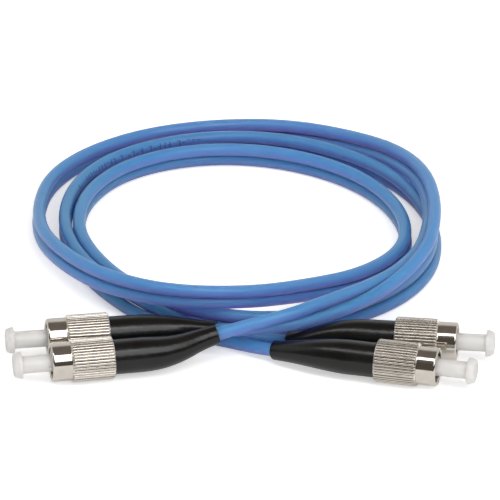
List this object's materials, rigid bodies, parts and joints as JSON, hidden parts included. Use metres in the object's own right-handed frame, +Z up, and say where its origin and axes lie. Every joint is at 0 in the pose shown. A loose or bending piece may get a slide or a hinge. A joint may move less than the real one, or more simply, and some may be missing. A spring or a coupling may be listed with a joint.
{
  "type": "fibre patch cord",
  "caption": "Duplex blue fibre patch cord lying in loose turns, with screw-type plugs, knurled nuts, black boots and push-on dust caps at both ends.",
  "frame": {"origin": "on the surface it lies on, under the middle of the box round the four plugs", "axes": "+X from the left plugs to the right ones, +Y from the plugs towards the turns of cord, +Z up"},
  "size_m": [0.1123, 0.1379, 0.0134],
  "materials": {
    "jacket": "satin",
    "nickel": "polished nickel plate",
    "nickel_satin": "satin nickel plate",
    "spring_steel": "drawn wire",
    "ceramic": "ground ceramic",
    "brass": "turned",
    "crimp": "satin",
    "buffer": "smooth",
    "yarn": "loose fibre",
    "boot": "satin",
    "cap": "translucent"
  },
  "bodies": {
    "cord": {"cord_half_a": "jacket", "cord_half_b": "jacket", "left_front_boot": "boot", "left_front_plug_frame": "nickel_satin", "left_front_rear_body": "brass", "left_front_crimp_sleeve": "crimp", "left_front_strength_yarn": "yarn", "left_front_ferrule_spring": "spring_steel", "left_rear_boot": "boot", "left_rear_plug_frame": "nickel_satin", "left_rear_rear_body": "brass", "left_rear_crimp_sleeve": "crimp", "left_rear_strength_yarn": "yarn", "left_rear_ferrule_spring": "spring_steel", "right_front_boot": "boot", "right_front_plug_frame": "nickel_satin", "right_front_rear_body": "brass", "right_front_crimp_sleeve": "crimp", "right_front_strength_yarn": "yarn", "right_front_ferrule_spring": "spring_steel", "right_rear_boot": "boot", "right_rear_plug_frame": "nickel_satin", "right_rear_rear_body": "brass", "right_rear_crimp_sleeve": "crimp", "right_rear_strength_yarn": "yarn", "right_rear_ferrule_spring": "spring_steel"},
    "left_front_ring": {"left_front_retaining_ring": "spring_steel"},
    "left_front_nut": {"left_front_coupling_nut": "nickel"},
    "left_front_ferrule": {"left_front_ferrule": "ceramic", "left_front_ferrule_holder": "brass", "left_front_fibre_buffer": "buffer"},
    "left_front_cap": {"left_front_dust_cap": "cap"},
    "left_rear_ring": {"left_rear_retaining_ring": "spring_steel"},
    "left_rear_nut": {"left_rear_coupling_nut": "nickel"},
    "left_rear_ferrule": {"left_rear_ferrule": "ceramic", "left_rear_ferrule_holder": "brass", "left_rear_fibre_buffer": "buffer"},
    "left_rear_cap": {"left_rear_dust_cap": "cap"},
    "right_front_ring": {"right_front_retaining_ring": "spring_steel"},
    "right_front_nut": {"right_front_coupling_nut": "nickel"},
    "right_front_ferrule": {"right_front_ferrule": "ceramic", "right_front_ferrule_holder": "brass", "right_front_fibre_buffer": "buffer"},
    "right_front_cap": {"right_front_dust_cap": "cap"},
    "right_rear_ring": {"right_rear_retaining_ring": "spring_steel"},
    "right_rear_nut": {"right_rear_coupling_nut": "nickel"},
    "right_rear_ferrule": {"right_rear_ferrule": "ceramic", "right_rear_ferrule_holder": "brass", "right_rear_fibre_buffer": "buffer"},
    "right_rear_cap": {"right_rear_dust_cap": "cap"}
  },
  "joints": [
    {"name": "left_front_nut_slide", "type": "slide", "parent": "cord", "child": "left_front_ring", "axis": [-0.9816, -0.1908, 0], "range_m": [-0.002, 0]},
    {"name": "left_front_nut_spin", "type": "hinge", "parent": "left_front_ring", "child": "left_front_nut", "pos_m": [-0.0358, -0.0046, 0.00495], "axis": [-0.9816, -0.1908, 0], "continuous": true},
    {"name": "left_front_ferrule_float", "type": "slide", "parent": "cord", "child": "left_front_ferrule", "axis": [-0.9816, -0.1908, 0], "range_m": [-0.0015, 0], "stiffness_N_per_m": 1500, "deforming": ["left_front_ferrule_spring"]},
    {"name": "left_front_cap_pull", "type": "slide", "parent": "left_front_ferrule", "child": "left_front_cap", "axis": [-0.9816, -0.1908, 0], "range_m": [0, 0.012]},
    {"name": "left_rear_nut_slide", "type": "slide", "parent": "cord", "child": "left_rear_ring", "axis": [-0.989, -0.1478, 0], "range_m": [-0.002, 0]},
    {"name": "left_rear_nut_spin", "type": "hinge", "parent": "left_rear_ring", "child": "left_rear_nut", "pos_m": [-0.037, 0.0074, 0.00495], "axis": [-0.989, -0.1478, 0], "continuous": true},
    {"name": "left_rear_ferrule_float", "type": "slide", "parent": "cord", "child": "left_rear_ferrule", "axis": [-0.989, -0.1478, 0], "range_m": [-0.0015, 0], "stiffness_N_per_m": 1500, "deforming": ["left_rear_ferrule_spring"]},
    {"name": "left_rear_cap_pull", "type": "slide", "parent": "left_rear_ferrule", "child": "left_rear_cap", "axis": [-0.989, -0.1478, 0], "range_m": [0, 0.012]},
    {"name": "right_front_nut_slide", "type": "slide", "parent": "cord", "child": "right_front_ring", "axis": [0.9703, -0.2419, 0], "range_m": [-0.002, 0]},
    {"name": "right_front_nut_spin", "type": "hinge", "parent": "right_front_ring", "child": "right_front_nut", "pos_m": [0.0338, -0.0064, 0.00495], "axis": [0.9703, -0.2419, 0], "continuous": true},
    {"name": "right_front_ferrule_float", "type": "slide", "parent": "cord", "child": "right_front_ferrule", "axis": [0.9703, -0.2419, 0], "range_m": [-0.0015, 0], "stiffness_N_per_m": 1500, "deforming": ["right_front_ferrule_spring"]},
    {"name": "right_front_cap_pull", "type": "slide", "parent": "right_front_ferrule", "child": "right_front_cap", "axis": [0.9703, -0.2419, 0], "range_m": [0, 0.012]},
    {"name": "right_rear_nut_slide", "type": "slide", "parent": "cord", "child": "right_rear_ring", "axis": [0.9925, -0.1219, 0], "range_m": [-0.002, 0]},
    {"name": "right_rear_nut_spin", "type": "hinge", "parent": "right_rear_ring", "child": "right_rear_nut", "pos_m": [0.0383, 0.0053, 0.00495], "axis": [0.9925, -0.1219, 0], "continuous": true},
    {"name": "right_rear_ferrule_float", "type": "slide", "parent": "cord", "child": "right_rear_ferrule", "axis": [0.9925, -0.1219, 0], "range_m": [-0.0015, 0], "stiffness_N_per_m": 1500, "deforming": ["right_rear_ferrule_spring"]},
    {"name": "right_rear_cap_pull", "type": "slide", "parent": "right_rear_ferrule", "child": "right_rear_cap", "axis": [0.9925, -0.1219, 0], "range_m": [0, 0.012]}
  ]
}
